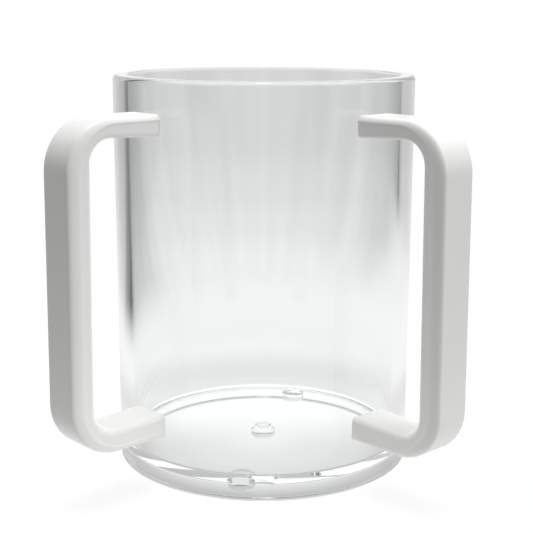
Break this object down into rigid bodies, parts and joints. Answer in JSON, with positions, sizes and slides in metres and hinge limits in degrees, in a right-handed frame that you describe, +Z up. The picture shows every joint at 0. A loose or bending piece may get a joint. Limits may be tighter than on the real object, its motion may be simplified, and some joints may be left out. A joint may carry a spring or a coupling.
{
  "type": "netilat yadayim washing cup",
  "caption": "Clear straight-sided washing cup with a thick wall and a recessed base, and white bent-bar handles set a quarter turn apart.",
  "frame": {"origin": "centre of the foot ring's flat underside, on the cup's axis, where the cup stands", "axes": "+Z up along the cup's axis from foot to rim; the left handle lies along -X and the right handle along -Y"},
  "size_m": [0.1357, 0.1357, 0.1327],
  "materials": {
    "clear_plastic": "clear, polished",
    "white_plastic": "opaque white, glossy",
    "cement": "dried solvent cement, translucent"
  },
  "bodies": {
    "root": {"cup_body": "clear_plastic", "left_handle": "white_plastic", "right_handle": "white_plastic", "left_upper_bond": "cement", "left_lower_bond": "cement", "right_upper_bond": "cement", "right_lower_bond": "cement"}
  },
  "joints": []
}
